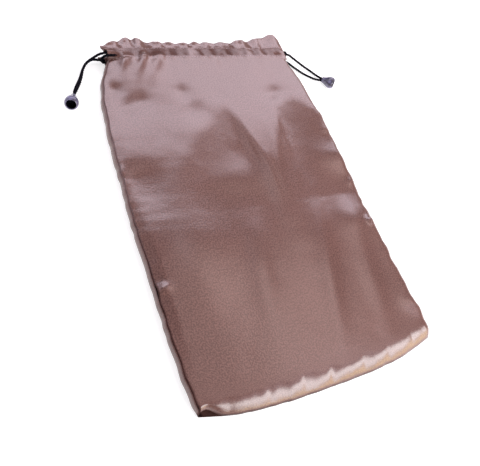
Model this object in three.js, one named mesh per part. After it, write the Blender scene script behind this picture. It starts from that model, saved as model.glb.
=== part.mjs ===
// Satin drawstring pouch for travel, lying flat and empty, with its mouth lightly gathered.
// Millimetres. X runs across the pouch, Y from the bottom fold to the mouth, Z up from the surface it lies on.
import * as THREE from "three";

// Driving dimensions
const BAG_WIDTH = 246;
const BAG_LENGTH = 368;
const CLOTH = 1;
const SEAM_GAP = 0.4;

// The bottom is a soft fold that bows out between the two corners
const BOTTOM_BOW = 13;
const BOTTOM_BOW_POWER = 3.2;
const CORNER_Y = BOTTOM_BOW - BAG_LENGTH / 2;
const BOTTOM_ROLL = 9;
const RIM_HEIGHT = 1.6;

// The sides: the back rolls round to the front on the left, and meets the front half way up on the right
const RIGHT_ROLL = 8;
const RIGHT_SEAM_HEIGHT = 3.6;
const CORNER_ROLL_LEFT = 1.3;
const CORNER_SEAM_RIGHT = RIM_HEIGHT - SEAM_GAP;
const LEFT_SLOPE = 40;

// The casing: a sewn channel for two cords, and the frill above it
const CASING_LEFT = -93.5;
const CASING_RIGHT = 105;
const CASING_LOW = 156;
const CASING_HIGH = 167;
const CHANNEL_HEIGHT = 5.4;
const CHANNEL_SLOPE = 2.5;
const CHANNEL_CORNER = 1.6;
const CHANNEL_FLAT = 3;
const STITCHED_HALF = 1;
const FRILL_HALF = 0.75;
const FRILL_FLARE = 5;
const FLARE_LOW = 164;
const FLARE_HIGH = 168;
const FLARE_FADE = 30;
const MOUTH_GAP = 4.8;
const FRONT_CASING_BASE = CHANNEL_HEIGHT + MOUTH_GAP;
const PANEL_TOP = CASING_LOW - SEAM_GAP;

// The gathers: how far the pleats stand up, and how far down the front they reach
const PLEAT_LIFT = 2.4;
const LIP_LIFT = 0.4;
const FRILL_LIFT = 1.8;
const FRILL_LEVEL = 0.3;
const FRILL_NOTCH = 1.2;
const GATHER_FADE = 20;
const BACK_FRILL_SHORTER = 3;
const GATHER_START = 0.86;

// The fall of the front from its fuller upper part: where it ends, how softly it starts, and the level that it blends to
const SINK_END = -15;
const SINK_EASE = 12;
const SINK_LEVEL = 2.6;
const SINK_BLEND = 60;

// Fineness of the faceted walls
const FRONT_STEPS = 26;
const PLEATED_STEPS = 62;
const BACK_STEPS = 6;
const BODY_STEPS = 17;
const GATHER_STEPS = 6;
const BOTTOM_ROLL_STEPS = 5;
const RIGHT_ROLL_STEPS = 4;
const LEFT_ROLL_STEPS = 6;
const FRONT_CASING_STEPS = 62;
const BACK_CASING_STEPS = 30;

// The drawcords and the bells on their ends
const CORD_DIAMETER = 2.6;
const CORD_SIDES = 8;
const STEPS_PER_POINT = 1;
const BELL_SIDES = 16;

const SATIN = { color: 0x9c7b78, roughness: 0.4, metalness: 0 };
const CORD = { color: 0x15131d, roughness: 0.7, metalness: 0 };
const BELL = { color: 0x6b667c, roughness: 0.25, metalness: 0 };

// Body sections from the bottom corners to the casing: side folds, height of the front, and radius of the left roll
const BODY_SECTIONS = [
  { y: -171, left: -118.5, right: 120.5, top: 14.2, roll: 3.6 },
  { y: -163, left: -121.3, right: 123, top: 14.2, roll: 3.8 },
  { y: -128, left: -123, right: 120.6, top: 14.2, roll: 3.8 },
  { y: -47, left: -122.3, right: 119.4, top: 14.4, roll: 3.8 },
  { y: 0, left: -120.7, right: 120.4, top: 14.6, roll: 3.8 },
  { y: 45, left: -118, right: 119.8, top: 14.8, roll: 3.8 },
  { y: 78, left: -115.6, right: 117.3, top: 14.8, roll: 3.8 },
  { y: 107, left: -112.5, right: 113.6, top: 14.6, roll: 3.8 },
  { y: 131, left: -107, right: 112, top: 14.4, roll: 4 },
  { y: 142, left: -102.3, right: 109.6, top: 14.2, roll: 4.5 },
  { y: 156, left: -95, right: 107.5, top: 14, roll: 5 },
];

// Line along which the front falls: place across, where the fall starts, and how deep it gets
const SINK_LINE = [
  { x: -122, start: 8, drop: 1.4 },
  { x: -88, start: 12, drop: 1.6 },
  { x: -62, start: 42, drop: 2.6 },
  { x: -36, start: 72, drop: 3.4 },
  { x: -14, start: 96, drop: 3.8 },
  { x: -2, start: 97, drop: 3.8 },
  { x: 8, start: 56, drop: 2.8 },
  { x: 18, start: 20, drop: 1.8 },
  { x: 28, start: 12, drop: 1.6 },
  { x: 38, start: 32, drop: 2.2 },
  { x: 62, start: 94, drop: 3.8 },
  { x: 82, start: 104, drop: 3.8 },
  { x: 104, start: 96, drop: 3.8 },
  { x: 122, start: 80, drop: 3.2 },
];

// Soft dents and swells of the front: centre, half widths along and across its own direction, turn, and rise
const FRONT_FOLDS = [
  { x: -104, y: 30, long: 22, wide: 16, turn: 12, rise: -1.8 },
  { x: 114, y: 26, long: 24, wide: 16, turn: 0, rise: 1.6 },
  { x: -88, y: -30, long: 46, wide: 40, turn: -8, rise: 1.4 },
  { x: -84, y: 105, long: 16, wide: 10, turn: 12, rise: -1.4 },
  { x: -34, y: 115, long: 10, wide: 9, turn: 20, rise: -0.9 },
  { x: -28, y: 90, long: 13, wide: 12, turn: 50, rise: -0.8 },
  { x: 66, y: 104, long: 14, wide: 10, turn: 10, rise: -0.7 },
  { x: 8, y: 24, long: 16, wide: 14, turn: 0, rise: 1 },
  { x: 40, y: -90, long: 60, wide: 12, turn: 72, rise: 0.7 },
  { x: -24, y: -70, long: 50, wide: 12, turn: 75, rise: 0.6 },
  { x: 85, y: -80, long: 60, wide: 12, turn: 80, rise: 0.7 },
];

// Pleats of the gathered mouth: where each crest stands, and how far its scallop of the frill reaches
const PLEATS = [
  { x: -98, crest: 168 },
  { x: -83, crest: 174.6 },
  { x: -71, crest: 179 },
  { x: -60, crest: 178.4 },
  { x: -41, crest: 175 },
  { x: -28, crest: 174.4 },
  { x: -13, crest: 174 },
  { x: 2, crest: 174.6 },
  { x: 12.5, crest: 174.8 },
  { x: 33, crest: 175 },
  { x: 53, crest: 177 },
  { x: 75, crest: 179.6 },
  { x: 99, crest: 184 },
  { x: 113, crest: 170 },
];

// Routes of the two drawcords: out of a bell, through the front casing, round its end, and back through the back casing
const LEFT_CORD_ROUTE = [
  [-133, 122.9, 5], [-131.9, 126, 4.8], [-128.7, 132, 4.4], [-124.4, 138.7, 4.2], [-121.9, 143.2, 4.2],
  [-119.6, 147.7, 4.2], [-117, 152.3, 4.2], [-113.4, 157.6, 4.3], [-108.8, 161.2, 5.2], [-104, 163, 7.6],
  [-99.8, 163.4, 10.8], [-94.6, 163.1, 12.75], [-88, 163, 12.85], [5, 163, 12.85], [98, 163, 12.85],
  [106, 163, 12.9], [110.1, 163, 11.6], [111.8, 163, 7.75], [110.1, 163, 3.9], [106, 163, 2.6], [98, 163, 2.65],
  [5, 163, 2.65], [-88, 163, 2.65], [-95, 163, 2.7], [-100, 163.6, 3], [-105, 163.9, 2.9], [-109.8, 161.8, 2.3],
  [-113.8, 157.8, 1.7], [-117.1, 152.2, 1.5], [-119, 147.3, 1.5], [-121.1, 142.7, 1.5], [-123.4, 138.1, 1.5],
  [-127.7, 131.2, 1.6], [-131.5, 125.4, 2], [-133.3, 122.3, 2.2],
];
const RIGHT_CORD_ROUTE = [
  [149.8, 133.1, 3.2], [147.9, 136, 2.4], [144.9, 140.4, 1.7], [141, 145.6, 1.5], [134.6, 151.6, 2.1],
  [127.4, 156.2, 4.3], [120.4, 159, 7.3], [113.6, 160.1, 10.9], [106.5, 160, 12.75], [99, 160, 12.85],
  [5, 160, 12.85], [-86, 160, 12.85], [-92.8, 160, 12.9], [-96.6, 160, 11.6], [-98.2, 160, 7.75],
  [-96.6, 160, 3.9], [-92.8, 160, 2.6], [-86, 160, 2.65], [5, 160, 2.65], [99, 160, 2.65], [105.4, 160.1, 2.6],
  [111, 160, 2.3], [115.6, 157.8, 1.8], [119.2, 153.6, 1.5], [123.8, 147.9, 1.5], [129.6, 142, 1.5],
  [136, 137.3, 1.5], [140.8, 134.1, 1.6], [144.8, 131.9, 2.4], [147.5, 130.6, 3.2],
];

// Bells: middle of the neck, and middle of the mouth
const LEFT_BELL = { neck: [-133.8, 121.3, 3.9], mouth: [-139.7, 109.5, 7.6] };
const RIGHT_BELL = { neck: [149.6, 131.3, 3.6], mouth: [158.1, 121.3, 7.6] };

// Half section of a bell from the neck to the rim and back inside: radius, and distance from the neck
const BELL_PROFILE = [
  { radius: 0, along: 0 },
  { radius: 2.6, along: 0 },
  { radius: 3.1, along: 1.8 },
  { radius: 4.5, along: 4.6 },
  { radius: 5.7, along: 7.2 },
  { radius: 6.3, along: 9.8 },
  { radius: 6.1, along: 11.8 },
  { radius: 5.2, along: 13.5 },
  { radius: 4.5, along: 13.5 },
  { radius: 4.7, along: 11 },
  { radius: 4.4, along: 8.8 },
  { radius: 3.7, along: 6.8 },
  { radius: 2.8, along: 5.6 },
  { radius: 0, along: 5.2 },
];

// Value of one column of a table at a place between its rows, on a smooth curve through them
function readTable(rows, key, column, at) {
  const last = rows.length - 1;
  if (at <= rows[0][key]) return rows[0][column];
  if (at >= rows[last][key]) return rows[last][column];
  const next = rows.findIndex((row) => row[key] > at);
  const slopeAt = (i) => {
    const a = rows[Math.max(i - 1, 0)];
    const b = rows[Math.min(i + 1, last)];
    return (b[column] - a[column]) / (b[key] - a[key]);
  };
  const low = rows[next - 1];
  const high = rows[next];
  const span = high[key] - low[key];
  const t = (at - low[key]) / span;
  const ease = t * t * (3 - 2 * t);
  const leave = t * (1 - t) * (1 - t) * span * slopeAt(next - 1);
  const arrive = t * t * (t - 1) * span * slopeAt(next);
  return low[column] + (high[column] - low[column]) * ease + leave + arrive;
}

// Quarter round from 0 at the edge to 1 at the end of the roll
function quarterRound(distance, radius) {
  const rest = 1 - THREE.MathUtils.clamp(distance / radius, 0, 1);
  return Math.sqrt(1 - rest * rest);
}

// Height of the pleats, 1 on each crest and 0 half way between two crests
function pleatWave(x) {
  const next = Math.max(1, PLEATS.findIndex((pleat) => pleat.x > x));
  const low = PLEATS[next - 1];
  const high = PLEATS[next];
  const share = (x - low.x) / (high.x - low.x);
  return 0.5 + 0.5 * Math.cos(2 * Math.PI * share);
}

function bottomEdge(x) {
  const out = Math.min(Math.abs(x) / (BAG_WIDTH / 2), 1);
  return CORNER_Y - BOTTOM_BOW * (1 - out ** BOTTOM_BOW_POWER);
}

// Side folds and roll radii of the body at a share of the way from the bottom edge to the casing
function bodySection(share) {
  const y = THREE.MathUtils.lerp(CORNER_Y, PANEL_TOP, share);
  const rise = quarterRound(y - CORNER_Y - CLOTH, BOTTOM_ROLL);
  const fullRoll = readTable(BODY_SECTIONS, "y", "roll", y);
  return {
    left: readTable(BODY_SECTIONS, "y", "left", y),
    right: readTable(BODY_SECTIONS, "y", "right", y),
    fullRoll,
    leftRoll: THREE.MathUtils.lerp(CORNER_ROLL_LEFT, fullRoll, rise),
    rightSeam: THREE.MathUtils.lerp(CORNER_SEAM_RIGHT, RIGHT_SEAM_HEIGHT, rise),
  };
}

// How far the front has fallen below its fuller upper part
function sinkDepth(x, y) {
  const start = readTable(SINK_LINE, "x", "start", x);
  const drop = readTable(SINK_LINE, "x", "drop", x);
  const past = Math.max(start - y, 0);
  const eased = past < SINK_EASE ? past ** 2 / (2 * SINK_EASE) : past - SINK_EASE / 2;
  const share = Math.min(eased / (start - SINK_END), 1);
  const below = Math.max(SINK_END - y, 0);
  const depth = THREE.MathUtils.lerp(SINK_LEVEL, drop, Math.exp(-below / SINK_BLEND));
  return depth * share * (2 - share);
}

// Height of the front before its edges roll down
function frontHeight(x, y) {
  let height = readTable(BODY_SECTIONS, "y", "top", y) - sinkDepth(x, y);
  for (const fold of FRONT_FOLDS) {
    const turn = THREE.MathUtils.degToRad(fold.turn);
    const along = (x - fold.x) * Math.cos(turn) + (y - fold.y) * Math.sin(turn);
    const across = (y - fold.y) * Math.cos(turn) - (x - fold.x) * Math.sin(turn);
    height += fold.rise * Math.exp(-((along / fold.long) ** 2) - (across / fold.wide) ** 2);
  }
  const gathered = Math.exp(-(PANEL_TOP - y) / GATHER_FADE);
  return height + PLEAT_LIFT * (pleatWave(x) - 0.5) * gathered;
}

// Point of the front: column runs from the left seam (0) over the front (1) down the right roll (2)
function frontPoint(column, share, inset) {
  const section = bodySection(share);
  const right = section.right - inset;
  const roll = RIGHT_ROLL - inset;
  const seam = section.left + section.leftRoll + SEAM_GAP;
  const rollAngle = (Math.max(column - 1, 0) * Math.PI) / 2;
  const x = column <= 1
    ? THREE.MathUtils.lerp(seam, right - roll, column)
    : right - roll + roll * Math.sin(rollAngle);
  const edge = bottomEdge(x) + inset;
  const y = THREE.MathUtils.lerp(edge, PANEL_TOP, share);
  const seamHeight = 2 * section.fullRoll;
  const swell = THREE.MathUtils.smoothstep(x - seam, 0, LEFT_SLOPE);
  const crown = THREE.MathUtils.lerp(seamHeight, frontHeight(x, y), swell) - inset;
  const rightRim = RIGHT_SEAM_HEIGHT + SEAM_GAP;
  const side = THREE.MathUtils.lerp(rightRim, crown, quarterRound(right - x, roll));
  const z = THREE.MathUtils.lerp(RIM_HEIGHT, side, quarterRound(y - edge, BOTTOM_ROLL - inset));
  return new THREE.Vector3(x, y, z);
}

// Point of the back: column runs down the right roll (0 to 1), along the surface (1 to 2) and round the left roll (2 to 3)
function backPoint(column, share, inset) {
  const section = bodySection(share);
  const leftMiddle = section.left + section.leftRoll;
  const rightMiddle = section.right - section.rightSeam;
  let x = THREE.MathUtils.lerp(rightMiddle, leftMiddle, column - 1);
  let z = inset;
  if (column < 1) {
    const angle = Math.PI * (2 - 0.5 * column);
    x = rightMiddle + (section.rightSeam - inset) * Math.cos(angle);
    z = section.rightSeam + (section.rightSeam - inset) * Math.sin(angle);
  }
  if (column > 2) {
    const angle = Math.PI * (1.5 - (column - 2));
    x = leftMiddle + (section.leftRoll - inset) * Math.cos(angle);
    z = section.leftRoll + (section.leftRoll - inset) * Math.sin(angle);
  }
  const y = THREE.MathUtils.lerp(bottomEdge(x), PANEL_TOP, share);
  return new THREE.Vector3(x, y, z);
}

// Evenly spaced numbers from one value to another, both included
function spread(from, to, steps) {
  return Array.from({ length: steps + 1 }, (_, i) => THREE.MathUtils.lerp(from, to, i / steps));
}

// Triangles between two rows of points whose columns may differ in number
function zipRows(rowA, rowB, startA, startB, flip, index) {
  let a = 0;
  let b = 0;
  const put = (p, q, r) => (flip ? index.push(p, r, q) : index.push(p, q, r));
  while (a < rowA.length - 1 || b < rowB.length - 1) {
    const stepA = b === rowB.length - 1 || (a < rowA.length - 1 && rowA[a + 1] <= rowB[b + 1]);
    if (stepA) {
      put(startA + a, startA + a + 1, startB + b);
      a += 1;
    } else {
      put(startA + a, startB + b + 1, startB + b);
      b += 1;
    }
  }
}

// Closed sheet of cloth: an outer face, an inner face one wall inside it, and the cut edge all round
function sheetGeometry(pointAt, rows) {
  const positions = [];
  const index = [];
  const faces = [0, CLOTH].map((inset) => rows.map((row) => {
    const start = positions.length / 3;
    row.columns.forEach((column) => positions.push(...pointAt(column, row.share, inset).toArray()));
    return start;
  }));
  const [outer, inner] = faces;
  const last = rows.length - 1;
  const edgeQuad = (p, q, r, s) => index.push(p, q, r, p, r, s);
  for (let i = 0; i < last; i += 1) {
    zipRows(rows[i].columns, rows[i + 1].columns, outer[i], outer[i + 1], false, index);
    zipRows(rows[i].columns, rows[i + 1].columns, inner[i], inner[i + 1], true, index);
    const here = rows[i].columns.length - 1;
    const there = rows[i + 1].columns.length - 1;
    edgeQuad(outer[i], outer[i + 1], inner[i + 1], inner[i]);
    edgeQuad(outer[i + 1] + there, outer[i] + here, inner[i] + here, inner[i + 1] + there);
  }
  for (let c = 0; c < rows[0].columns.length - 1; c += 1) {
    edgeQuad(outer[0] + c + 1, outer[0] + c, inner[0] + c, inner[0] + c + 1);
  }
  for (let c = 0; c < rows[last].columns.length - 1; c += 1) {
    edgeQuad(outer[last] + c, outer[last] + c + 1, inner[last] + c + 1, inner[last] + c);
  }
  const geometry = new THREE.BufferGeometry();
  geometry.setAttribute("position", new THREE.Float32BufferAttribute(positions, 3));
  geometry.setIndex(index);
  return geometry;
}

// Shares of the way up the body: close together round the bottom roll, even along the body, close in the gathers
function bodyShares() {
  const reach = PANEL_TOP - CORNER_Y;
  const rollAngles = spread(0, Math.PI / 2, BOTTOM_ROLL_STEPS);
  const rollShares = rollAngles.map((angle) => (BOTTOM_ROLL * (1 - Math.cos(angle))) / reach);
  const mainShares = spread(BOTTOM_ROLL / reach, GATHER_START, BODY_STEPS).slice(1);
  return [...rollShares, ...mainShares, ...spread(GATHER_START, 1, GATHER_STEPS).slice(1)];
}

function frontPanel() {
  const rollColumns = spread(1, 2, RIGHT_ROLL_STEPS).slice(1);
  const plain = [...spread(0, 1, FRONT_STEPS), ...rollColumns];
  const pleated = [...spread(0, 1, PLEATED_STEPS), ...rollColumns];
  const rows = bodyShares().map((share) => ({ share, columns: share > GATHER_START ? pleated : plain }));
  return sheetGeometry(frontPoint, rows);
}

function backPanel() {
  const right = spread(0, 1, RIGHT_ROLL_STEPS);
  const flat = spread(1, 2, BACK_STEPS).slice(1);
  const left = spread(2, 3, LEFT_ROLL_STEPS).slice(1);
  const rows = bodyShares().map((share) => ({ share, columns: [...right, ...flat, ...left] }));
  return sheetGeometry(backPoint, rows);
}

// Outline of a casing at one place across the mouth, and of the channel inside it
function casingSection(x, base, frillShorter, pleatShare) {
  const wave = pleatWave(x);
  const top = base + CHANNEL_HEIGHT + PLEAT_LIFT * wave * pleatShare;
  const lip = base + STITCHED_HALF + (CHANNEL_HEIGHT / 2 - STITCHED_HALF + LIP_LIFT * wave) * pleatShare;
  const frill = lip + FRILL_LIFT * (wave - FRILL_LEVEL) * pleatShare;
  const crest = readTable(PLEATS, "x", "crest", x) - frillShorter;
  const edge = crest - FRILL_NOTCH * (1 - wave);
  const middle = (CASING_HIGH + edge) / 2;
  const frillMiddle = (lip + frill) / 2;
  const innerMiddle = base + CHANNEL_HEIGHT / 2;
  return {
    outline: [
      [CASING_LOW, lip - STITCHED_HALF],
      [CASING_LOW + CHANNEL_SLOPE, base],
      [CASING_HIGH - CHANNEL_SLOPE, base],
      [CASING_HIGH, lip - STITCHED_HALF],
      [middle, frillMiddle - FRILL_HALF],
      [edge, frill - FRILL_HALF],
      [edge, frill + FRILL_HALF],
      [middle, frillMiddle + FRILL_HALF],
      [CASING_HIGH, lip + STITCHED_HALF],
      [CASING_HIGH - CHANNEL_SLOPE, top],
      [CASING_LOW + CHANNEL_SLOPE, top],
      [CASING_LOW, lip + STITCHED_HALF],
    ],
    channel: [
      [CASING_LOW + CHANNEL_CORNER, innerMiddle],
      [CASING_LOW + CHANNEL_FLAT, base + CLOTH],
      [CASING_HIGH - CHANNEL_FLAT, base + CLOTH],
      [CASING_HIGH - CHANNEL_CORNER, innerMiddle],
      [CASING_HIGH - CHANNEL_FLAT, top - CLOTH],
      [CASING_LOW + CHANNEL_FLAT, top - CLOTH],
    ],
  };
}

// How far the frill spreads past the left end of the casing, where nothing gathers it
function frillSpread(x, y) {
  const nearEnd = 1 - THREE.MathUtils.smoothstep(x - CASING_LEFT, 0, FLARE_FADE);
  return FRILL_FLARE * nearEnd * THREE.MathUtils.smoothstep(y, FLARE_LOW, FLARE_HIGH);
}

// Casing swept across the mouth: an outer skin, the channel through it, and its two open ends
function casingGeometry(base, frillShorter, pleatShare, steps) {
  const positions = [];
  const index = [];
  const rings = spread(CASING_LEFT, CASING_RIGHT, steps).map((x) => {
    const section = casingSection(x, base, frillShorter, pleatShare);
    const start = positions.length / 3;
    [...section.outline, ...section.channel].forEach(([y, z]) => positions.push(x - frillSpread(x, y), y, z));
    return { start, section };
  });
  const outlineCount = rings[0].section.outline.length;
  const channelCount = rings[0].section.channel.length;
  const skin = (from, count, inside) => {
    for (let i = 0; i < steps; i += 1) {
      for (let k = 0; k < count; k += 1) {
        const a = rings[i].start + from + k;
        const b = rings[i].start + from + ((k + 1) % count);
        const c = rings[i + 1].start + from + ((k + 1) % count);
        const d = rings[i + 1].start + from + k;
        if (inside) index.push(a, c, b, a, d, c);
        else index.push(a, b, c, a, c, d);
      }
    }
  };
  skin(0, outlineCount, false);
  skin(outlineCount, channelCount, true);
  [rings[0], rings[steps]].forEach(({ start, section }, end) => {
    const toPoints = (list) => list.map(([y, z]) => new THREE.Vector2(y, z));
    const caps = THREE.ShapeUtils.triangulateShape(toPoints(section.outline), [toPoints(section.channel)]);
    caps.forEach(([a, b, c]) => {
      if (end === 0) index.push(start + a, start + c, start + b);
      else index.push(start + a, start + b, start + c);
    });
  });
  const geometry = new THREE.BufferGeometry();
  geometry.setAttribute("position", new THREE.Float32BufferAttribute(positions, 3));
  geometry.setIndex(index);
  return geometry;
}

// Curve through the route's points, stepped from point to point so that bends keep short steps
class CordRoute extends THREE.CatmullRomCurve3 {
  getUtoTmapping(u) {
    return u;
  }
}

function drawcord(route) {
  const radius = CORD_DIAMETER / 2;
  const corners = spread(0, 2 * Math.PI, CORD_SIDES).slice(0, CORD_SIDES);
  const outline = corners.map((angle) => new THREE.Vector2(radius * Math.cos(angle), radius * Math.sin(angle)));
  const path = new CordRoute(route.map((point) => new THREE.Vector3(...point)), false, "centripetal");
  const steps = (route.length - 1) * STEPS_PER_POINT;
  return new THREE.ExtrudeGeometry(new THREE.Shape(outline), { steps, extrudePath: path, bevelEnabled: false });
}

function cordEnd() {
  const profile = BELL_PROFILE.map((point) => new THREE.Vector2(point.radius, point.along));
  return new THREE.LatheGeometry(profile, BELL_SIDES);
}

function addPiece(group, name, geometry, finish) {
  const mesh = new THREE.Mesh(geometry, new THREE.MeshStandardMaterial(finish));
  mesh.name = name;
  group.add(mesh);
  return mesh;
}

function addCordEnd(group, name, bell) {
  const mesh = addPiece(group, name, cordEnd(), BELL);
  const neck = new THREE.Vector3(...bell.neck);
  const direction = new THREE.Vector3(...bell.mouth).sub(neck).normalize();
  mesh.position.copy(neck);
  mesh.quaternion.setFromUnitVectors(new THREE.Vector3(0, 1, 0), direction);
}

const frontCasing = casingGeometry(FRONT_CASING_BASE, 0, 1, FRONT_CASING_STEPS);
const backCasing = casingGeometry(0, BACK_FRILL_SHORTER, 0, BACK_CASING_STEPS);

const pouch = new THREE.Group();
addPiece(pouch, "front_panel", frontPanel(), SATIN);
addPiece(pouch, "back_panel", backPanel(), SATIN);
addPiece(pouch, "front_casing", frontCasing, SATIN);
addPiece(pouch, "back_casing", backCasing, SATIN);
addPiece(pouch, "drawcord_left", drawcord(LEFT_CORD_ROUTE), CORD);
addPiece(pouch, "drawcord_right", drawcord(RIGHT_CORD_ROUTE), CORD);
addCordEnd(pouch, "cord_end_left", LEFT_BELL);
addCordEnd(pouch, "cord_end_right", RIGHT_BELL);

export default pouch;
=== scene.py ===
# %% [markdown]
# # A satin drawstring pouch, lying flat
# The pouch is two panels of thin satin, a gathered casing with a frill at its mouth, and two dark
# drawcords that end in plastic bells. The solid model gives every piece its place. This lesson dresses
# it: each cloth piece starts as a flat grid, as cloth starts flat on the cutting table, and is then moved
# into the shape that it lies in.

# %% Load the solid model as the fixed frame
import math

import bmesh
import bpy
import numpy as np
from mathutils import Matrix, Vector


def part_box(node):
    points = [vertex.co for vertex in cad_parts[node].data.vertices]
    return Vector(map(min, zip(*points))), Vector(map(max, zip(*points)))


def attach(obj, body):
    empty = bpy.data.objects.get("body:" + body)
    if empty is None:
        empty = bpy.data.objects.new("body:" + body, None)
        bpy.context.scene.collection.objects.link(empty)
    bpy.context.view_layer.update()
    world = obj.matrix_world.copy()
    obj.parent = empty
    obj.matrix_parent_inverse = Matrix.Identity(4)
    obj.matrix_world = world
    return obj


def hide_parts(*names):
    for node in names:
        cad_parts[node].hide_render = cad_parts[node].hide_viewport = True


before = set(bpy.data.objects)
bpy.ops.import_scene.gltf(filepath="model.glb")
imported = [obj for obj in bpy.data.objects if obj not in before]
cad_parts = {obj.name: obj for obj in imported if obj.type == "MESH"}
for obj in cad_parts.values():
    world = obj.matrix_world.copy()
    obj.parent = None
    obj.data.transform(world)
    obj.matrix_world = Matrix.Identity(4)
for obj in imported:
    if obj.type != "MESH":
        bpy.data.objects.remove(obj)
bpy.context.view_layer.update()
MM = 0.001
BODY = "root"
print("solid pieces:", ", ".join(sorted(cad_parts)))

# %% [markdown]
# ## Camera
# The picture looks down at the pouch from its lower left corner, with the camera rolled so that the pouch
# stands almost upright in the frame. A camera can be aimed with constraints, but three angles and a
# target are easier to check against the picture, so its matrix is built from them.

# %% Camera
CAMERA_TURN = math.radians(-55.163)
CAMERA_RISE = math.radians(52.962)
CAMERA_ROLL = math.radians(38.726)
CAMERA_DISTANCE = 526.2 * MM
CAMERA_TARGET = Vector((-25.2, -34.2, 0)) * MM
CAMERA_LENS = 44.52

away = Vector((
    math.sin(CAMERA_TURN) * math.cos(CAMERA_RISE),
    -math.cos(CAMERA_TURN) * math.cos(CAMERA_RISE),
    math.sin(CAMERA_RISE),
))
level_right = Vector((math.cos(CAMERA_TURN), math.sin(CAMERA_TURN), 0))
level_up = away.cross(level_right)
right = level_right * math.cos(CAMERA_ROLL) + level_up * math.sin(CAMERA_ROLL)
up = away.cross(right)
camera = bpy.data.objects.new("camera", bpy.data.cameras.new("camera"))
camera.data.lens = CAMERA_LENS
turned = Matrix((right, up, away)).transposed().to_4x4()
camera.matrix_world = Matrix.Translation(CAMERA_TARGET + away * CAMERA_DISTANCE) @ turned
bpy.context.scene.collection.objects.link(camera)
bpy.context.scene.camera = camera
print("camera stands at", [round(c, 3) for c in camera.matrix_world.translation])

# %% [markdown]
# ## From a flat grid to a shaped piece
# Every soft piece here is made in the same way. `bmesh.ops.create_grid` gives a flat sheet with its own
# UV map, and a function of the piece says where each point of the sheet lies. A tube is a grid too:
# rolled up, with the two long edges merged. This keeps the weave on the UV map straight along the cloth,
# however the cloth bends.

# %% Helpers that make and keep a piece
PAINTED_SHADE = "painted_shade"


def new_piece(name, bm, material):
    """Turns a bmesh into a smooth shaded object that rides on the pouch."""
    mesh = bpy.data.meshes.new(name)
    bm.to_mesh(mesh)
    bm.free()
    mesh.shade_smooth()
    mesh.materials.append(material)
    piece = bpy.data.objects.new(name, mesh)
    bpy.context.scene.collection.objects.link(piece)
    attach(piece, BODY)
    print(f"{name}: {len(mesh.polygons)} faces")
    return piece


def add_sheet(bm, columns, rows, place):
    """Adds a grid of cloth whose points go where place(across, along) says, both running from 0 to 1.

    A fourth column from place, if there is one, says how much painted shade of a seam, fold or tuck
    the point gets, from 0 to 1.
    """
    if not bm.loops.layers.uv:
        bm.loops.layers.uv.new("cloth")
    # Layer for the painted shade of seams, folds and tucks, which the satin reads to paint itself darker.
    depth = bm.verts.layers.float.get(PAINTED_SHADE) or bm.verts.layers.float.new(PAINTED_SHADE)
    made = bmesh.ops.create_grid(bm, x_segments=columns, y_segments=rows, size=0.5, calc_uvs=True)
    flat = np.array([vertex.co for vertex in made["verts"]]) + 0.5
    for vertex, point in zip(made["verts"], place(flat[:, 0], flat[:, 1])):
        vertex.co = point[:3] * MM
        vertex[depth] = point[3] if len(point) > 3 else 0
    return made["verts"]


def add_wall(piece, thickness):
    """Gives a sheet its thickness, on the inside of the shape."""
    wall = piece.modifiers.new("wall", "SOLIDIFY")
    wall.thickness = thickness * MM
    wall.offset = -1
    wall.use_rim = True
    return piece


# %% Helpers for soft steps, hills and rolls
def mix(a, b, share):
    return a + (b - a) * share


def smoothstep(value, low, high):
    t = np.clip((value - low) / (high - low), 0, 1)
    return t * t * (3 - 2 * t)


def hill(distance, half_width):
    """1 in the middle and falling off softly on both sides."""
    return np.exp(-((distance / half_width) ** 2))


def fade(distance, reach):
    """1 at the start and dying out over a reach."""
    return np.exp(-distance / reach)


def quarter_round(distance, radius):
    """Runs from 0 at the edge to 1 at the end of a roll, as a quarter of a circle does."""
    rest = 1 - np.clip(distance / radius, 0, 1)
    return np.sqrt(1 - rest * rest)


print(f"one half width out, a hill is down to {hill(1, 1):.2f} of its height")

# %% Helpers for smooth curves through points and tables
def bend(start, end, leave, arrive, t):
    """Place on a curve from start to end that leaves and arrives in given directions."""
    square = 3 * (end - start) - 2 * leave - arrive
    cube = 2 * (start - end) + leave + arrive
    return start + leave * t + square * t**2 + cube * t**3


def read(rows, key, column, at):
    """Value of a table's column at places between its rows, on a smooth curve through them."""
    keys = np.array([row[key] for row in rows], float)
    values = np.array([row[column] for row in rows], float)
    slopes = np.gradient(values, keys)
    slopes[1:-1] = (values[2:] - values[:-2]) / (keys[2:] - keys[:-2])
    i = np.clip(np.searchsorted(keys, at, side="right") - 1, 0, len(rows) - 2)
    span = keys[i + 1] - keys[i]
    t = np.clip((at - keys[i]) / span, 0, 1)
    return bend(values[i], values[i + 1], span * slopes[i], span * slopes[i + 1], t)


def through(points, per_span, closed=False):
    """Smooth curve through points (a Catmull-Rom spline with centripetal knots)."""
    p = np.asarray(points, float)
    first, last = (p[-1], p[0]) if closed else (2 * p[0] - p[1], 2 * p[-1] - p[-2])
    body = np.vstack([p, p[:1]]) if closed else p
    p = np.vstack([first, body, p[1] if closed else last])
    t = np.linspace(0, 1, per_span, endpoint=False)[:, None]
    curve = []
    for a, b, c, d in zip(p[:-3], p[1:-2], p[2:-1], p[3:]):
        before, span, after = (np.linalg.norm(q) ** 0.5 for q in (b - a, c - b, d - c))
        leave = ((b - a) / before - (c - a) / (before + span) + (c - b) / span) * span
        arrive = ((c - b) / span - (d - b) / (span + after) + (d - c) / after) * span
        curve.append(bend(b, c, leave, arrive, t))
    return np.vstack(curve + ([] if closed else [p[-2:-1]]))


corner_curve = through([(0, 0, 0), (1, 1, 0), (2, 0, 0)], 4)
print("a curve through three points, in steps of a quarter, has", len(corner_curve), "points")

# %% Helpers for uneven cloth
RIPPLE_KNOTS = 1024
MOTTLE_KNOTS = 128


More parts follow.
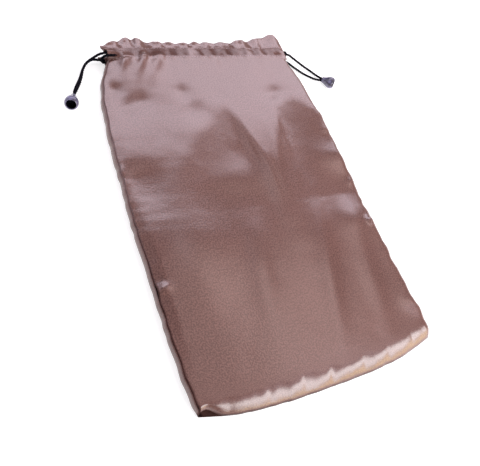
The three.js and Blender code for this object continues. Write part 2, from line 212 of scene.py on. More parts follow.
def ripple(at, period, seed):
    """Smooth uneven wave from -1 to 1 along a line, always the same for the same seed."""
    heights = np.random.default_rng(seed).uniform(-1, 1, RIPPLE_KNOTS)
    place = np.asarray(at) / period + RIPPLE_KNOTS / 2
    i = np.floor(place).astype(int)
    return mix(heights[i], heights[i + 1], smoothstep(place - i, 0, 1))


def waves(at, parts):
    """Uneven waves on top of each other, each given by its height, its period and its seed."""
    return sum(height * ripple(at, period, seed) for height, period, seed in parts)


def mottle(x, y, period, seed):
    """Smooth uneven hills from -1 to 1 on a surface."""
    heights = np.random.default_rng(seed).uniform(-1, 1, (MOTTLE_KNOTS, MOTTLE_KNOTS))
    column, row = x / period + MOTTLE_KNOTS / 2, y / period + MOTTLE_KNOTS / 2
    i, j = np.floor(column).astype(int), np.floor(row).astype(int)
    s, t = smoothstep(column - i, 0, 1), smoothstep(row - j, 0, 1)
    near = mix(heights[i, j], heights[i + 1, j], s)
    far = mix(heights[i, j + 1], heights[i + 1, j + 1], s)
    return mix(near, far, t)


print("an uneven wave at three places:", ripple(np.array([0, 5, 10]), 7, 1).round(2))

# %% [markdown]
# ## Finishes
# Satin is a dull brown rose by itself. Its long floating threads give it a pale lilac sheen where it
# mirrors the window, so the sheen belongs to the shader and the lights. The nodes carry what the cloth
# itself has: the fine weave, slightly uneven dye, a soft grain and the long slubs of the thread. They
# also carry painted shade: little light gets into seams and tucks or under the bottom fold, so an
# attribute of the mesh says how much shade is painted at each point, and the satin is painted darker
# and duller there. Cords are near-black plied thread, and the bells are smoky moulded plastic.

# %% Node helpers
def new_finish(name):
    finish = bpy.data.materials.new(name)
    finish.use_nodes = True
    return finish, finish.node_tree.nodes, finish.node_tree.links, finish.node_tree.nodes["Principled BSDF"]


def add_node(nodes, kind, **values):
    """Adds a node and sets its inputs or, where it has no such input, its properties."""
    node = nodes.new(kind)
    for key, value in values.items():
        name = key.replace("_", " ").title()
        if name in node.inputs:
            node.inputs[name].default_value = value
        else:
            setattr(node, key, value)
    return node


def add_noise(nodes, links, place, scale, detail):
    noise = add_node(nodes, "ShaderNodeTexNoise", scale=scale, detail=detail)
    links.new(place, noise.inputs["Vector"])
    return noise.outputs["Fac"]


def add_stretch(nodes, links, place, scale):
    stretch = add_node(nodes, "ShaderNodeMapping", scale=scale)
    links.new(place, stretch.inputs["Vector"])
    return stretch.outputs["Vector"]


def add_range(nodes, links, value, low, high, ends=(0, 1)):
    """Carries a value that runs between two ends over to a run from low to high."""
    carried = add_node(
        nodes, "ShaderNodeMapRange", from_min=ends[0], from_max=ends[1], to_min=low, to_max=high
    )
    links.new(value, carried.inputs["Value"])
    return carried.outputs["Result"]


def add_share(nodes, links, value, share, rest=None):
    """A value times its share, on top of the rest."""
    total = add_node(nodes, "ShaderNodeMath", operation="MULTIPLY_ADD")
    links.new(value, total.inputs[0])
    total.inputs[1].default_value = share
    total.inputs[2].default_value = 0
    if rest is not None:
        links.new(rest, total.inputs[2])
    return total.outputs["Value"]


def add_two_tone(nodes, links, value, low, high, ends=(0, 1)):
    """Colour that runs from low to high while a value runs between two ends."""
    ramp = add_node(nodes, "ShaderNodeValToRGB")
    for element, colour, end in zip(ramp.color_ramp.elements, (low, high), ends):
        element.position = end
        element.color = colour
    links.new(value, ramp.inputs["Fac"])
    return ramp.outputs["Color"]


def add_bump(nodes, links, shader, height, strength, distance):
    bump = add_node(nodes, "ShaderNodeBump", strength=strength, distance=distance * MM)
    links.new(height, bump.inputs["Height"])
    links.new(bump.outputs["Normal"], shader.inputs["Normal"])


# %% Satin
SATIN_DEEP = (0.112, 0.051, 0.042, 1)
SATIN_PALE = (0.2, 0.095, 0.079, 1)
# Colour of the painted shade in seams, tucks and under the bottom fold.
SATIN_PAINTED_SHADE = (0.036, 0.016, 0.014, 1)
SATIN_SHEEN = (0.9, 0.82, 0.9, 1)
SATIN_GLOSS = (0.9, 0.05)
SATIN_ROUGHNESS = (0.15, 0.18)
SLUB_STRETCH = (0.9, 0.2, 1)
WARP = dict(bands_direction="X", scale=0.42, distortion=1.5, detail=1.0)
WEFT = dict(bands_direction="Y", scale=0.3, distortion=2.0, detail=1.0)
DYE_SHARE = 0.4
GRAIN_SHARE = 2.6
SLUB_SHARE = 0.4
WEAVE_SHARE = 0.12
TONE_ENDS = (1.43, 2.21)
SHADE_FULLY_DULL = 0.45


def satin_finish(name, width, length):
    """Satin whose weave follows the piece's UV map, which covers a cloth of width by length millimetres."""
    finish, nodes, links, shader = new_finish(name)
    place = add_node(nodes, "ShaderNodeTexCoord").outputs
    in_mm = add_stretch(nodes, links, place["UV"], (width, length, 1))
    slubs = add_noise(nodes, links, add_stretch(nodes, links, in_mm, SLUB_STRETCH), scale=1.0, detail=3.0)
    dye = add_noise(nodes, links, place["Object"], scale=18.0, detail=2.0)
    grain = add_noise(nodes, links, in_mm, scale=0.8, detail=2.0)
    tone = add_share(nodes, links, dye, DYE_SHARE)
    tone = add_share(nodes, links, grain, GRAIN_SHARE, tone)
    tone = add_share(nodes, links, slubs, SLUB_SHARE, tone)
    for threads in (WARP, WEFT):
        bands = add_node(nodes, "ShaderNodeTexWave", **threads)
        links.new(in_mm, bands.inputs["Vector"])
        tone = add_share(nodes, links, bands.outputs["Fac"], WEAVE_SHARE, tone)
    spread = add_range(nodes, links, tone, 0, 1, TONE_ENDS)
    dyed = add_two_tone(nodes, links, spread, SATIN_DEEP, SATIN_PALE, ends=(0.2, 0.8))
    # Painted shade: where the attribute says so, the colour is mixed towards the shade colour and the gloss
    # is turned down.
    painted_shade = add_node(nodes, "ShaderNodeAttribute", attribute_name=PAINTED_SHADE).outputs["Fac"]
    shaded = add_node(nodes, "ShaderNodeMixRGB", color2=SATIN_PAINTED_SHADE)
    links.new(painted_shade, shaded.inputs["Fac"])
    links.new(dyed, shaded.inputs["Color1"])
    links.new(shaded.outputs["Color"], shader.inputs["Base Color"])
    gloss = add_range(nodes, links, painted_shade, *SATIN_GLOSS, ends=(0, SHADE_FULLY_DULL))
    links.new(gloss, shader.inputs["Specular IOR Level"])
    links.new(add_range(nodes, links, slubs, *SATIN_ROUGHNESS), shader.inputs["Roughness"])
    shader.inputs["Sheen Weight"].default_value = 0.08
    shader.inputs["Sheen Roughness"].default_value = 0.4
    shader.inputs["Sheen Tint"].default_value = SATIN_SHEEN
    add_bump(nodes, links, shader, tone, strength=0.25, distance=0.15)
    return finish


print("satin runs from", SATIN_DEEP[:3], "to", SATIN_PALE[:3])

# %% Cord, thread and bell plastic
def cord_finish():
    finish, nodes, links, shader = new_finish("navy_cord")
    place = add_node(nodes, "ShaderNodeTexCoord").outputs["Object"]
    fibres = add_noise(nodes, links, place, scale=1400.0, detail=4.0)
    dyed = add_two_tone(nodes, links, fibres, (0.0006, 0.0006, 0.0016, 1), (0.005, 0.005, 0.011, 1))
    links.new(dyed, shader.inputs["Base Color"])
    shader.inputs["Roughness"].default_value = 0.75
    shader.inputs["Specular IOR Level"].default_value = 0.06
    add_bump(nodes, links, shader, fibres, strength=0.5, distance=0.2)
    return finish


def thread_finish():
    finish, nodes, links, shader = new_finish("mauve_thread")
    place = add_node(nodes, "ShaderNodeTexCoord").outputs["Object"]
    fibres = add_noise(nodes, links, place, scale=900.0, detail=2.0)
    # Mauve thread, painted lighter than the satin's own colour as a painted sheen that matches the lit satin
    # round the stitches.
    dyed = add_two_tone(nodes, links, fibres, (0.3, 0.19, 0.185, 1), (0.42, 0.29, 0.29, 1))
    links.new(dyed, shader.inputs["Base Color"])
    shader.inputs["Roughness"].default_value = 0.5
    return finish


def bell_finish():
    finish, nodes, links, shader = new_finish("smoky_bell")
    place = add_node(nodes, "ShaderNodeTexCoord").outputs["Object"]
    smoke = add_noise(nodes, links, place, scale=160.0, detail=3.0)
    clouded = add_two_tone(
        nodes, links, smoke, (0.035, 0.032, 0.06, 1), (0.23, 0.21, 0.36, 1), ends=(0.4, 0.64)
    )
    links.new(clouded, shader.inputs["Base Color"])
    links.new(add_range(nodes, links, smoke, 0.12, 0.26), shader.inputs["Roughness"])
    shader.inputs["Coat Weight"].default_value = 0.6
    shader.inputs["Coat Roughness"].default_value = 0.08
    return finish


def hollow_shade_finish():
    """Near-black inside of the bells: painted shade for the hollow, darker than its lit plastic would look.
    """
    finish, _, _, shader = new_finish("painted_hollow_shade")
    shader.inputs["Base Color"].default_value = (0.004, 0.004, 0.008, 1)
    shader.inputs["Roughness"].default_value = 0.5
    shader.inputs["Specular IOR Level"].default_value = 0.2
    return finish


NAVY_CORD = cord_finish()
MAUVE_THREAD = thread_finish()
SMOKY_BELL = bell_finish()
BELL_HOLLOW_SHADE = hollow_shade_finish()
print("finishes:", [finish.name for finish in (NAVY_CORD, MAUVE_THREAD, SMOKY_BELL, BELL_HOLLOW_SHADE)])

# %% [markdown]
# ## Drawcords
# Each cord is one loop: it leaves a bell, runs through the front casing, turns round its far end, comes
# back through the back casing and goes into the same bell. A curve with a round bevel would do for a
# plain cable, but this is a plied cord, so three thin tubes are wound round the route, and the route
# itself is the cord's measured length.

# %% Routes and sizes of the cords
CORD_DIAMETER = 2.6
PLIES = 3
PLY_RADIUS = 0.72
PLY_OFFSET = CORD_DIAMETER / 2 - PLY_RADIUS
PLY_PITCH = 9
PLY_SIDES = 7
CORD_STEPS_PER_SPAN = 6
LONG_STEP = 1.2
NECK_DEPTH = 4
LEFT_ROUTE = [
    (-133, 122.9, 5), (-131.9, 126, 4.8), (-128.7, 132, 4.4), (-124.4, 138.7, 4.2), (-121.9, 143.2, 4.2),
    (-119.6, 147.7, 4.2), (-117, 152.3, 4.2), (-113.4, 157.6, 4.3), (-108.8, 161.2, 5.2), (-104, 163, 7.6),
    (-99.8, 163.4, 10.8), (-94.6, 163.1, 12.75), (-88, 163, 12.85), (5, 163, 12.85), (98, 163, 12.85),
    (106, 163, 12.9), (110.1, 163, 11.6), (111.8, 163, 7.75), (110.1, 163, 3.9), (106, 163, 2.6),
    (98, 163, 2.65), (5, 163, 2.65), (-88, 163, 2.65), (-95, 163, 2.7), (-100, 163.6, 3),
    (-105, 163.9, 2.9), (-109.8, 161.8, 2.3), (-113.8, 157.8, 1.7), (-117.1, 152.2, 1.5), (-119, 147.3, 1.5),
    (-121.1, 142.7, 1.5), (-123.4, 138.1, 1.5), (-127.7, 131.2, 1.6), (-131.5, 125.4, 2),
    (-133.3, 122.3, 2.2),
]
RIGHT_ROUTE = [
    (149.8, 133.1, 3.2), (147.9, 136, 2.4), (144.9, 140.4, 1.7), (141, 145.6, 1.5), (134.6, 151.6, 2.1),
    (127.4, 156.2, 4.3), (120.4, 159, 7.3), (113.6, 160.1, 10.9), (106.5, 160, 12.75), (99, 160, 12.85),
    (5, 160, 12.85), (-86, 160, 12.85), (-92.8, 160, 12.9), (-96.6, 160, 11.6), (-98.2, 160, 7.75),
    (-96.6, 160, 3.9), (-92.8, 160, 2.6), (-86, 160, 2.65), (5, 160, 2.65), (99, 160, 2.65),
    (105.4, 160.1, 2.6), (111, 160, 2.3), (115.6, 157.8, 1.8), (119.2, 153.6, 1.5), (123.8, 147.9, 1.5),
    (129.6, 142, 1.5), (136, 137.3, 1.5), (140.8, 134.1, 1.6), (144.8, 131.9, 2.4), (147.5, 130.6, 3.2),
]
BELLS = {
    "left": dict(neck=(-133.8, 121.3, 3.9), mouth=(-139.7, 109.5, 7.6)),
    "right": dict(neck=(149.6, 131.3, 3.6), mouth=(158.1, 121.3, 7.6)),
}
print("points on the cord routes:", len(LEFT_ROUTE), len(RIGHT_ROUTE))


# %% Tube and cord makers
TUBE_MERGE = 0.005


def even_steps(path, step):
    """The same curve with points at even distances."""
    run = np.concatenate([[0], np.cumsum(np.linalg.norm(np.diff(path, axis=0), axis=1))])
    at = np.linspace(0, run[-1], int(round(run[-1] / step)) + 1)
    return np.stack([np.interp(at, run, path[:, axis]) for axis in range(3)], axis=1), at


def path_frames(path):
    """Two side directions at each point of a path, carried along it without twisting."""
    heading = np.gradient(path, axis=0)
    heading /= np.linalg.norm(heading, axis=1)[:, None]
    side = np.cross(heading[0], (0, 0, 1))
    sides = []
    for direction in heading:
        side = side - direction * side.dot(direction)
        side = side / np.linalg.norm(side)
        sides.append(side)
    sides = np.array(sides)
    return sides, np.cross(heading, sides)


def add_tube(bm, path, radius, sides, ends_closed=True):
    """Rolls a grid into a tube round a path and closes its seam and its ends."""
    across, over = path_frames(path)

    def place(along, around):
        i = np.rint(along * (len(path) - 1)).astype(int)
        angle = around * 2 * np.pi
        return path[i] + radius * (np.cos(angle)[:, None] * across[i] + np.sin(angle)[:, None] * over[i])

    made = add_sheet(bm, len(path) - 1, sides, place)
    bmesh.ops.remove_doubles(bm, verts=made, dist=TUBE_MERGE * MM)
    if ends_closed:
        open_edges = [edge for edge in bm.edges if edge.is_boundary]
        bmesh.ops.holes_fill(bm, edges=open_edges, sides=sides)


def add_plied_cord(bm, path, run):
    across, over = path_frames(path)
    for ply in range(PLIES):
        angle = 2 * np.pi * (run / PLY_PITCH + ply / PLIES)
        offset = np.cos(angle)[:, None] * across + np.sin(angle)[:, None] * over
        add_tube(bm, path + PLY_OFFSET * offset, PLY_RADIUS, PLY_SIDES)
    bmesh.ops.recalc_face_normals(bm, faces=bm.faces)


def into_bell(route, bell):
    """The route with both ends led a little way into the bell's neck."""
    neck, mouth = np.array(bell["neck"]), np.array(bell["mouth"])
    inward = (mouth - neck) / np.linalg.norm(mouth - neck) * NECK_DEPTH
    ends = [np.array(route[0]) + inward, np.array(route[-1]) + inward]
    return [ends[0], *route, ends[1]]


# %% Cords
for side, route in (("left", LEFT_ROUTE), ("right", RIGHT_ROUTE)):
    line, run = even_steps(through(into_bell(route, BELLS[side]), CORD_STEPS_PER_SPAN), LONG_STEP)
    cord_mesh = bmesh.new()
    add_plied_cord(cord_mesh, line, run)
    piece = new_piece(f"drawcord_{side}_plied", cord_mesh, NAVY_CORD)
    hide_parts(f"drawcord_{side}")
    print(f"{side} cord is {run[-1]:.0f} mm long")

# %% [markdown]
# ## Bells on the cord ends
# Each bell is a small moulded bulb, open at its mouth, with a bore in its neck for the two ends of the
# cord. It is round, so its half section is spun about its axis. The ends are knotted inside. The knot and
# the inside of the hollow, which is painted near-black as shade, are what looks black in the mouth.

# %% Bell maker
BELL_STEPS = 48
BELL_POINTS_PER_SPAN = 4
BELL_SECTION = [
    (2.5, 0), (2.9, 0.15), (3.1, 0.8), (3.4, 2.2), (4.5, 4.6), (5.7, 7.2), (6.3, 9.8), (6.1, 11.8),
    (5.6, 13), (5.2, 13.5), (4.8, 13.6), (4.5, 13.3), (4.55, 12), (4.6, 10.6), (4.3, 8.6), (3.6, 6.8),
    (2.8, 5.8), (2.5, 4.8), (2.45, 2.4),
]
HOLLOW_END = 13
bell_radii, bell_heights = zip(*BELL_SECTION)
print(f"a bell is {2 * max(bell_radii):.1f} mm wide and {max(bell_heights):.1f} mm long")


def bell_place(bell):
    """Matrix that stands a bell, made up its own Z axis from the neck, in its place on the cord."""
    neck, mouth = Vector(bell["neck"]) * MM, Vector(bell["mouth"]) * MM
    return Matrix.Translation(neck) @ (mouth - neck).to_track_quat("Z", "Y").to_matrix().to_4x4()


def bell_mesh(bell):
    bm = bmesh.new()
    corners = [(radius, 0, along) for radius, along in BELL_SECTION]
    section = through(corners, BELL_POINTS_PER_SPAN, closed=True)
    ring = [bm.verts.new(point * MM) for point in section]
    edges = [bm.edges.new((a, b)) for a, b in zip(ring, ring[1:] + ring[:1])]
    bmesh.ops.spin(
        bm, geom=ring + edges, axis=(0, 0, 1), cent=(0, 0, 0), angle=2 * math.pi, steps=BELL_STEPS,
        use_merge=True,
    )
    bmesh.ops.recalc_face_normals(bm, faces=bm.faces)
    # Faces on the inside of the hollow get the second finish, the painted shade.
    for face in bm.faces:
        middle = face.calc_center_median()
        faces_axis = face.normal.x * middle.x + face.normal.y * middle.y < 0
        face.material_index = int(faces_axis and middle.z < HOLLOW_END * MM)
    bmesh.ops.transform(bm, matrix=bell_place(bell), verts=bm.verts)
    return bm


# %% Knot maker
KNOT_REACH = 0.85
KNOT_THICKNESS = 1.1
KNOT_PLACE = 8.2
KNOT_STEPS = 90
KNOT_SIDES = 9
KNOT_MERGE = 0.05


def knot_mesh(bell):
    """Overhand knot: a closed trefoil of the same cord, pulled up in the bell."""
    bm = bmesh.new()
    turn = np.linspace(0, 2 * np.pi, KNOT_STEPS)
    trefoil = np.stack([
        np.sin(turn) + 2 * np.sin(2 * turn),
        np.cos(turn) - 2 * np.cos(2 * turn),
        -np.sin(3 * turn),
    ], axis=1)
    add_tube(bm, trefoil * KNOT_REACH, KNOT_THICKNESS, KNOT_SIDES, ends_closed=False)
    bmesh.ops.remove_doubles(bm, verts=bm.verts, dist=KNOT_MERGE * MM)
    bmesh.ops.recalc_face_normals(bm, faces=bm.faces)
    lift = Matrix.Translation((0, 0, KNOT_PLACE * MM))
    bmesh.ops.transform(bm, matrix=bell_place(bell) @ lift, verts=bm.verts)
    return bm


# %% Bells and knots
for side, bell in BELLS.items():
    bell_piece = new_piece(f"bell_{side}", bell_mesh(bell), SMOKY_BELL)
    bell_piece.data.materials.append(BELL_HOLLOW_SHADE)
    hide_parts(f"cord_end_{side}")
    knot_piece = new_piece(f"knot_{side}", knot_mesh(bell), NAVY_CORD)

# %% [markdown]
# ## The lie of the cloth
# An empty pouch isn't flat. Its upper part is still full, its lower part has sunk, and the line where the
# front starts to sink runs across it in lobes. On top of that lie dents, swells, ridges that hang from
# the gathers and pleats at the mouth. Satin mirrors the room, so each of these shows as a pale or a dark
# cloud. A cloth simulation would give clouds too, but not in the places where this pouch has them, so
# short tables in millimetres hold them. The sink line says for places across the pouch where the front
# starts to sink and how far it drops. A dent or swell is a soft hill with two half widths and a turn, and
# some run out over a longer way on their lower side.

# %% Sizes that the cloth pieces share
back_low, back_high = (np.array(corner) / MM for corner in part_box("back_panel"))
BAG_HALF = (back_high[0] - back_low[0]) / 2
BOTTOM = back_low[1]
PANEL_TOP = back_high[1]
CLOTH = 1
SEAM_GAP = 0.4
SEAM_LAP = 0.15
BOTTOM_BOW = 13
BOTTOM_BOW_POWER = 3.2
CORNER_Y = BOTTOM + BOTTOM_BOW
BOTTOM_ROLL = 9
RIM_HEIGHT = 1.6
RIGHT_ROLL = 8
RIGHT_SEAM_HEIGHT = 3.6
CORNER_ROLL_LEFT = 1.3
CORNER_SEAM_RIGHT = RIM_HEIGHT - SEAM_GAP
LEFT_FLATTEN = 0.35
LEFT_SLOPE = 110
MOUTH_SLOPE = 30
MOUTH_SLOPE_START = 90
print(f"the panels run from y {BOTTOM:.1f} to {PANEL_TOP:.1f} mm and are {2 * BAG_HALF:.1f} mm wide")

# %% Outline of the body, and its waves
BODY_SECTIONS = [
    dict(y=-171, left=-118.5, right=120.5, top=14.2, roll=4.2),
    dict(y=-163, left=-121.3, right=123, top=14.2, roll=4.4),
    dict(y=-128, left=-123, right=120.6, top=14.2, roll=4.4),
    dict(y=-47, left=-122.3, right=119.4, top=14.4, roll=4.4),
    dict(y=0, left=-120.7, right=120.4, top=14.6, roll=4.4),
    dict(y=45, left=-118, right=119.8, top=14.8, roll=4.4),
    dict(y=78, left=-115.6, right=117.3, top=14.8, roll=4.4),
    dict(y=107, left=-112.5, right=113.6, top=14.6, roll=4.4),
    dict(y=131, left=-107, right=112, top=14.4, roll=4.4),
    dict(y=142, left=-102.3, right=109.6, top=14.4, roll=4.6),
    dict(y=156, left=-95, right=107.5, top=14.5, roll=5),
]
BOTTOM_EDGE_WAVES = [(0.4, 12, 21), (0.25, 5, 22)]
LEFT_EDGE_WAVES = [(0.6, 13, 33), (0.45, 6, 34)]
RIGHT_EDGE_WAVES = [(1.1, 13, 31), (0.8, 6, 32)]
CALM_CORNER_POWER = 8
CALM_SHARE = 0.05


def bottom_edge(x):
    """The bowed bottom fold, wavy except at the corners."""
    out = np.minimum(np.abs(x) / BAG_HALF, 1)
    bow = CORNER_Y - BOTTOM_BOW * (1 - out**BOTTOM_BOW_POWER)
    return bow + waves(x, BOTTOM_EDGE_WAVES) * (1 - out**CALM_CORNER_POWER)


def body_section(share):
    """Side folds and roll radii at a share of the way from the bottom edge to the casing."""
    y = mix(CORNER_Y, PANEL_TOP, share)
    rise = quarter_round(y - CORNER_Y - CLOTH, BOTTOM_ROLL)
    away_from_ends = smoothstep(share, 0, CALM_SHARE) * smoothstep(1 - share, 0, CALM_SHARE)
    full_roll = read(BODY_SECTIONS, "y", "roll", y)
    return dict(
        left=read(BODY_SECTIONS, "y", "left", y) + waves(y, LEFT_EDGE_WAVES) * away_from_ends,
        right=read(BODY_SECTIONS, "y", "right", y) + waves(y, RIGHT_EDGE_WAVES) * away_from_ends,
        full_roll=full_roll,
        left_roll=mix(CORNER_ROLL_LEFT, full_roll, rise),
        right_seam=mix(CORNER_SEAM_RIGHT, RIGHT_SEAM_HEIGHT, rise),
    )


def left_seam(section):
    return section["left"] + LEFT_FLATTEN * section["left_roll"] + SEAM_LAP


half_way = body_section(np.array([0.5]))
print(f"half way up, the body runs from x {half_way['left'][0]:.1f} to {half_way['right'][0]:.1f} mm")

# %% Where the front sinks
SINK_LINE = [
    dict(x=-122, start=8, drop=0.3), dict(x=-90, start=12, drop=0.4), dict(x=-62, start=42, drop=2.4),
    dict(x=-42, start=67, drop=3.6), dict(x=-21, start=88, drop=4.4), dict(x=-6, start=98, drop=4.8),
    dict(x=6, start=99, drop=4.8), dict(x=13, start=88, drop=4.4), dict(x=20, start=58, drop=3.6),
    dict(x=27, start=40, drop=3.2), dict(x=36, start=48, drop=3.4), dict(x=47, start=72, drop=4.4),
    dict(x=59, start=95, drop=5.6), dict(x=72, start=105, drop=6.4), dict(x=86, start=107, drop=6.4),
    dict(x=104, start=98, drop=6), dict(x=122, start=84, drop=5),
]
SINK_END = -15
SINK_EASE = 14
SINK_EASE_MOST = 2
SINK_LEVEL = 2.6
SINK_BLEND = 60


def sink_depth(x, y):
    """How far the front has fallen below its fuller upper part."""
    start, drop = read(SINK_LINE, "x", "start", x), read(SINK_LINE, "x", "drop", x)
    steep = (read(SINK_LINE, "x", "start", x + 1) - read(SINK_LINE, "x", "start", x - 1)) / 2
    ease = SINK_EASE * np.minimum(np.sqrt(1 + steep**2), SINK_EASE_MOST)
    past = np.maximum(start - y, 0)
    eased = np.where(past < ease, past**2 / (2 * ease), past - ease / 2)
    share = np.minimum(eased / (start - SINK_END), 1)
    depth = mix(SINK_LEVEL, drop, fade(np.maximum(SINK_END - y, 0), SINK_BLEND))
    return depth * share * (2 - share)


print(f"the front sinks {sink_depth(np.array([0.0]), np.array([0.0]))[0]:.1f} mm at its middle")

# %% Dents, swells and pleats of the front
FRONT_FOLDS = [
    dict(x=-105, y=27, long=20, wide=13, low=34, turn=12, rise=-2.1),
    dict(x=114, y=25, long=22, wide=15, turn=-6, rise=2.2),
    dict(x=-88, y=-46, long=38, wide=44, low=60, turn=-10, rise=3.6),
    dict(x=-98, y=36, long=34, wide=36, turn=0, rise=0.8),
    dict(x=-97, y=121, long=8, wide=9, turn=20, rise=-1.5),
    dict(x=-76, y=107, long=9, wide=9, turn=10, rise=-1.2),
    dict(x=-91, y=103, long=11, wide=10, turn=10, rise=-1.4),
    dict(x=-34, y=113, long=9, wide=9, turn=20, rise=-1.2),
    dict(x=-10, y=16, long=30, wide=17, turn=0, rise=1),
    dict(x=-28, y=90, long=13, wide=12, turn=50, rise=-1.2),
    dict(x=68, y=107, long=13, wide=8, turn=20, rise=-1.1),
    dict(x=95, y=-46, long=19, wide=20, turn=0, rise=1.9),
    dict(x=40, y=-90, long=60, wide=10, turn=72, rise=1.3),
    dict(x=-24, y=-70, long=50, wide=12, turn=75, rise=1.4),
    dict(x=82, y=-100, long=50, wide=11, turn=80, rise=1),
    dict(x=-76, y=158, long=13, wide=3.8, turn=62, rise=2.4),
    dict(x=-60, y=155, long=16, wide=4.2, turn=60, rise=2.6),
    dict(x=-44, y=155, long=20, wide=5.4, turn=57, rise=2.2),
]
FOLD_MARGIN = 10
PLEATS = [
    dict(x=-98, crest=168), dict(x=-83, crest=174.6), dict(x=-71, crest=179), dict(x=-60, crest=178.4),
    dict(x=-41, crest=175), dict(x=-28, crest=174.4), dict(x=-13, crest=174), dict(x=2, crest=174.6),
    dict(x=12.5, crest=174.8), dict(x=33, crest=175), dict(x=53, crest=177), dict(x=75, crest=179.6),
    dict(x=99, crest=184), dict(x=113, crest=170),
]
PLEAT_LIFT = 0.6
PLEAT_FADE = 11
GATHER_WAVES = [(0.25, 4.2, 11)]
GATHER_FADE = 7
CLOTH_MOTTLE = [(0.08, 14, 12), (0.025, 5, 13)]
print(f"{len(FRONT_FOLDS)} dents, swells and ridges, {len(PLEATS)} pleats")


# %% Height of the front
def pleat_wave(x):
    """1 on each pleat's crest and 0 half way between two crests."""
    crests = np.array([pleat["x"] for pleat in PLEATS], float)
    i = np.clip(np.searchsorted(crests, x, side="right") - 1, 0, len(crests) - 2)
    share = np.clip((x - crests[i]) / (crests[i + 1] - crests[i]), 0, 1)
    return 0.5 + 0.5 * np.cos(2 * np.pi * share)


def fold_height(x, y):
    """Dents, swells, pleats and small unevenness that lie on the front."""
    height = sum(rise * mottle(x, y, period, seed) for rise, period, seed in CLOTH_MOTTLE)
    for fold in FRONT_FOLDS:
        dx, dy, turn = x - fold["x"], y - fold["y"], math.radians(fold["turn"])
        along = dx * math.cos(turn) + dy * math.sin(turn)
        across = dy * math.cos(turn) - dx * math.sin(turn)
        wide = np.where(across < 0, fold.get("low", fold["wide"]), fold["wide"])
        height = height + fold["rise"] * hill(along, fold["long"]) * hill(across, wide)
    below = PANEL_TOP - y
    pleats = PLEAT_LIFT * (pleat_wave(x) - 0.5) * fade(below, PLEAT_FADE)
    return height + pleats + waves(x, GATHER_WAVES) * fade(below, GATHER_FADE)


def front_height(x, y, section):
    """Height of the front: up from the left seam, over the body, before its other edges roll down."""
    from_seam = np.maximum(x - left_seam(section), 0)
    slope = mix(LEFT_SLOPE, MOUTH_SLOPE, smoothstep(y, MOUTH_SLOPE_START, PANEL_TOP))
    climb = 1 - (1 - np.clip(from_seam / slope, 0, 1)) ** 2
    body = read(BODY_SECTIONS, "y", "top", y) - sink_depth(x, y)
    folds = fold_height(x, y) * smoothstep(from_seam, 0, FOLD_MARGIN)
    return mix(2 * section["full_roll"], body, climb) + folds


middle_height = front_height(np.array([0.0]), np.array([0.0]), half_way)[0]
print(f"the middle of the front lies {middle_height:.1f} mm up")

# %% [markdown]
# ## Front panel
# The front is the piece that the eye goes to. It starts at the side seam on the left, swells over the
# body, and rolls down to the right edge and to the bottom fold. The thread of the seams draws the cloth
# in, so small puckers stand along the sides, short creases cross the bottom fold, and the lower left
# corner is pulled up. These could be sculpted, but rows of a table are easier to move and to compare with
# the picture.

# %% Rows of the panels
MAIN_COLUMNS = 140
ROLL_COLUMNS = 14
ROLL_ROWS = 30
MAIN_ROWS = 150
GATHER_ROWS = 46
PANEL_ROWS = ROLL_ROWS + MAIN_ROWS + GATHER_ROWS
GATHER_START = 0.86
ROLL_REACH = 20
ROLL_CROWDING = 1.3


def row_shares(along):
    """Shares of the way up the body: close together round the bottom roll and in the gathers."""
    reach = PANEL_TOP - CORNER_Y
    rolled = ROLL_REACH * np.linspace(0, 1, ROLL_ROWS + 1) ** ROLL_CROWDING / reach
    main = np.linspace(rolled[-1], GATHER_START, MAIN_ROWS + 1)[1:]
    gathered = np.linspace(GATHER_START, 1, GATHER_ROWS + 1)[1:]
    shares = np.concatenate([rolled, main, gathered])
    return np.interp(along, np.linspace(0, 1, len(shares)), shares)


print(f"the panels have {PANEL_ROWS} rows")

# %% Bottom fold of the front
FRONT_ROLL = 13.5
FRONT_ROLL_WAVES = [(1.5, 22, 45), (0.8, 8, 46)]
EDGE_PART = 0.15
EDGE_SHARE = 0.2
SLOPE_POWER = 1.9
CORNER_LIFT = 3
CORNER_LIFT_WIDTH = 13
CORNER_PULL = 4.5
CORNER_PULL_X = -112
CORNER_PULL_HALF = 7
CORNER_ROLL_SHARE = 0.3
CORNER_ROLL_SPAN = (-114, -94)
CREASE_DEPTH = 0.4
CREASE_HALF = 2.4
BOTTOM_PUCKERS = [
    dict(x=-56, reach=2, wide=9), dict(x=-23, reach=3.5, wide=9), dict(x=3, reach=4, wide=6),
    dict(x=39, reach=2, wide=8), dict(x=68, reach=4, wide=9), dict(x=100, reach=1.5, wide=10),
]


def bottom_roll(x):
    """How far the front rolls up from the bottom fold: further at puckers, little at the left corner."""
    roll = FRONT_ROLL + waves(x, FRONT_ROLL_WAVES)
    for pucker in BOTTOM_PUCKERS:
        roll = roll + pucker["reach"] * hill(x - pucker["x"], pucker["wide"])
    return roll * mix(CORNER_ROLL_SHARE, 1, smoothstep(x, *CORNER_ROLL_SPAN))


def bottom_creases(x):
    """Depth of the creases, one on the left of each pucker."""
    beside = [x - pucker["x"] + pucker["wide"] / 2 for pucker in BOTTOM_PUCKERS]
    return CREASE_DEPTH * sum(hill(distance, CREASE_HALF) for distance in beside)


def fold_profile(distance, reach):
    """Runs from 0 at the bottom fold to 1 where the front lies flat: a steep edge, then a long slope."""
    t = np.clip(distance / reach, 0, 1)
    return mix(1 - (1 - t) ** SLOPE_POWER, quarter_round(t, EDGE_PART), EDGE_SHARE)


rolls = bottom_roll(np.linspace(-BAG_HALF, BAG_HALF, 50))
print(f"the bottom fold rolls up over {rolls.min():.1f} to {rolls.max():.1f} mm")

